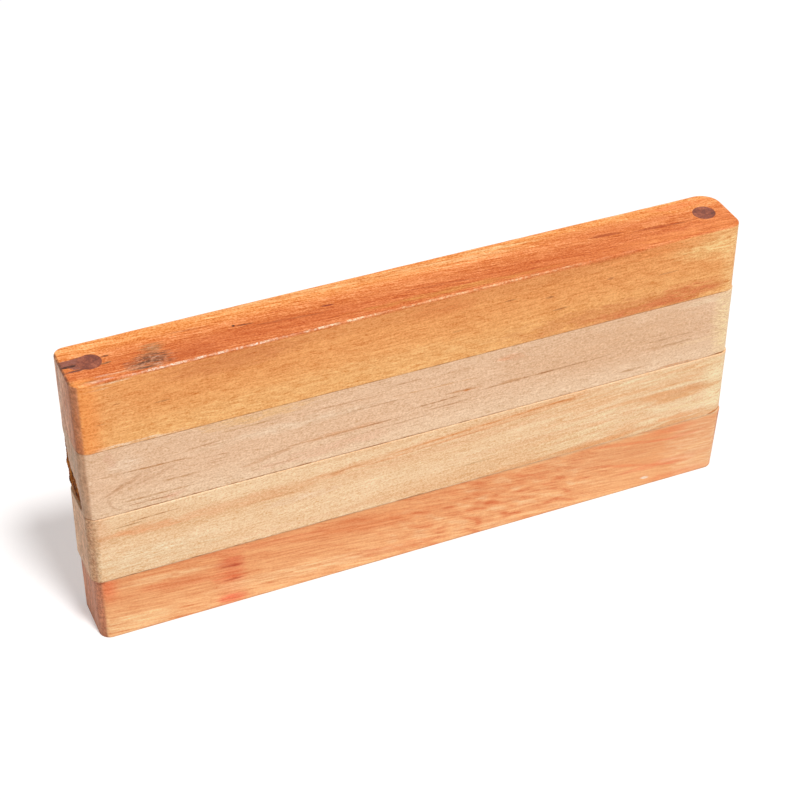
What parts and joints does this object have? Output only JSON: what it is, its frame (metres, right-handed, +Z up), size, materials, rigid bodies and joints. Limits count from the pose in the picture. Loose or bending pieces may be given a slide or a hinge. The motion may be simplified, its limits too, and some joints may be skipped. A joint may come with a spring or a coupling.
{
  "type": "folding wooden rest",
  "caption": "Stack of equal wooden bars on edge, pinned end to end by upright pegs at alternate ends, so that it opens out like a folding rule.",
  "frame": {"origin": "on the resting face, midway between the left and right lines of pegs and on the line that joins them", "axes": "+X along the bars towards the end where the middle peg is, +Y towards the back, +Z up through the stack along the pegs"},
  "size_m": [0.1507, 0.0144, 0.0673],
  "materials": {
    "orange_wood": "sanded and lightly oiled, straight grain",
    "beige_wood": "sanded, pinkish beige with fine brown streaks",
    "cream_wood": "sanded, cream with soft orange streaks",
    "salmon_wood": "sanded and lightly oiled, salmon orange with red streaks",
    "dark_dowel": "dark red-brown hardwood, end grain sanded flush"
  },
  "bodies": {
    "base_arm": {"bar_base": "salmon_wood", "end_plug_base": "dark_dowel"},
    "lower_arm": {"bar_lower": "cream_wood", "pivot_peg_base": "dark_dowel"},
    "upper_arm": {"bar_upper": "beige_wood", "pivot_peg_middle": "dark_dowel"},
    "top_arm": {"bar_top": "orange_wood", "pivot_peg_top": "dark_dowel", "end_plug_top": "dark_dowel"}
  },
  "joints": [
    {"name": "base_fold", "type": "hinge", "parent": "base_arm", "child": "lower_arm", "pos_m": [-0.0692, 0, 0.01615], "axis": [0, 0, 1], "continuous": true},
    {"name": "middle_fold", "type": "hinge", "parent": "lower_arm", "child": "upper_arm", "pos_m": [0.0692, 0, 0.03315], "axis": [0, 0, 1], "continuous": true},
    {"name": "top_fold", "type": "hinge", "parent": "upper_arm", "child": "top_arm", "pos_m": [-0.0692, 0, 0.05025], "axis": [0, 0, 1], "continuous": true}
  ]
}
